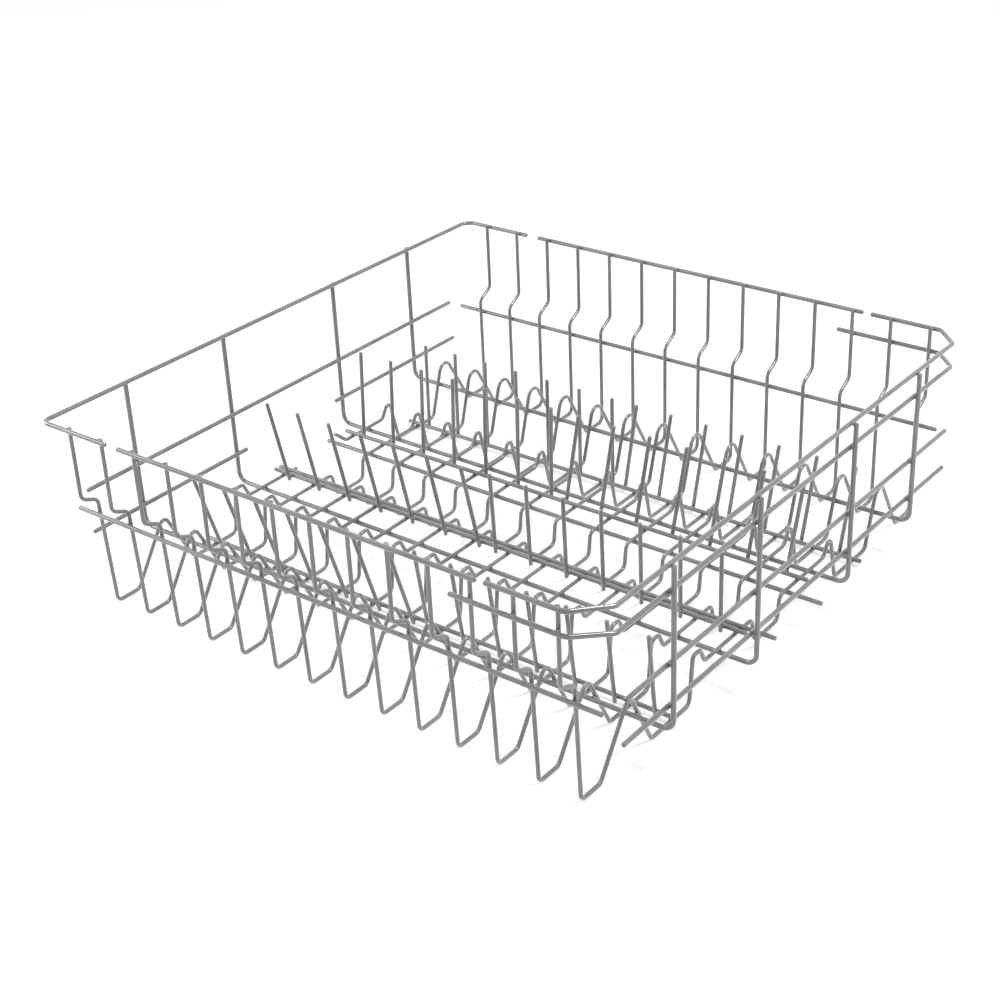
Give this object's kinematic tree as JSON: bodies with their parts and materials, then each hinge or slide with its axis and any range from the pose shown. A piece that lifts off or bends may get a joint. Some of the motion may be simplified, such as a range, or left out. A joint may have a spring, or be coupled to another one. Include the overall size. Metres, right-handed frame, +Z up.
{
  "type": "dishwasher basket",
  "caption": "Open basket of welded coated wire for a dishwasher: bent floor wires stand on their own feet and carry rows of splayed tines between low wire walls and rims.",
  "frame": {"origin": "on the surface the feet stand on, in the middle of the basket's plan", "axes": "+X to the wall with two rims, +Y from the stepped front wall to the wall with the tall hoops beside it, +Z up"},
  "size_m": [0.5214, 0.5242, 0.1661],
  "materials": {
    "coated_wire": "satin"
  },
  "bodies": {
    "root": {"back_mid_wire": "coated_wire", "back_top_wire": "coated_wire", "front_low_wire": "coated_wire", "front_top_wire": "coated_wire", "left_low_wire_front": "coated_wire", "left_low_wire_rear": "coated_wire", "left_mid_wire": "coated_wire", "left_rim": "coated_wire", "profile_wire_01_front": "coated_wire", "profile_wire_01_rear": "coated_wire", "profile_wire_02": "coated_wire", "profile_wire_03": "coated_wire", "profile_wire_04": "coated_wire", "profile_wire_05": "coated_wire", "profile_wire_06": "coated_wire", "profile_wire_07": "coated_wire", "profile_wire_08": "coated_wire", "profile_wire_09": "coated_wire", "profile_wire_10": "coated_wire", "profile_wire_11": "coated_wire", "profile_wire_12": "coated_wire", "profile_wire_13": "coated_wire", "profile_wire_14": "coated_wire", "right_low_wire": "coated_wire", "right_lower_rim": "coated_wire", "right_mid_wire": "coated_wire", "right_upper_rim": "coated_wire", "support_frame_1": "coated_wire", "support_frame_2": "coated_wire", "support_frame_3": "coated_wire", "support_frame_4": "coated_wire", "tine_wire_a": "coated_wire", "tine_wire_b_back": "coated_wire", "tine_wire_b_front": "coated_wire", "tine_wire_c": "coated_wire", "tine_wire_d": "coated_wire", "tines_a_left": "coated_wire", "tines_a_right": "coated_wire", "tines_b_left": "coated_wire", "tines_b_right": "coated_wire", "tines_c_left": "coated_wire", "tines_c_right": "coated_wire", "tines_d_left": "coated_wire", "tines_d_right": "coated_wire", "under_wire": "coated_wire"}
  },
  "joints": []
}
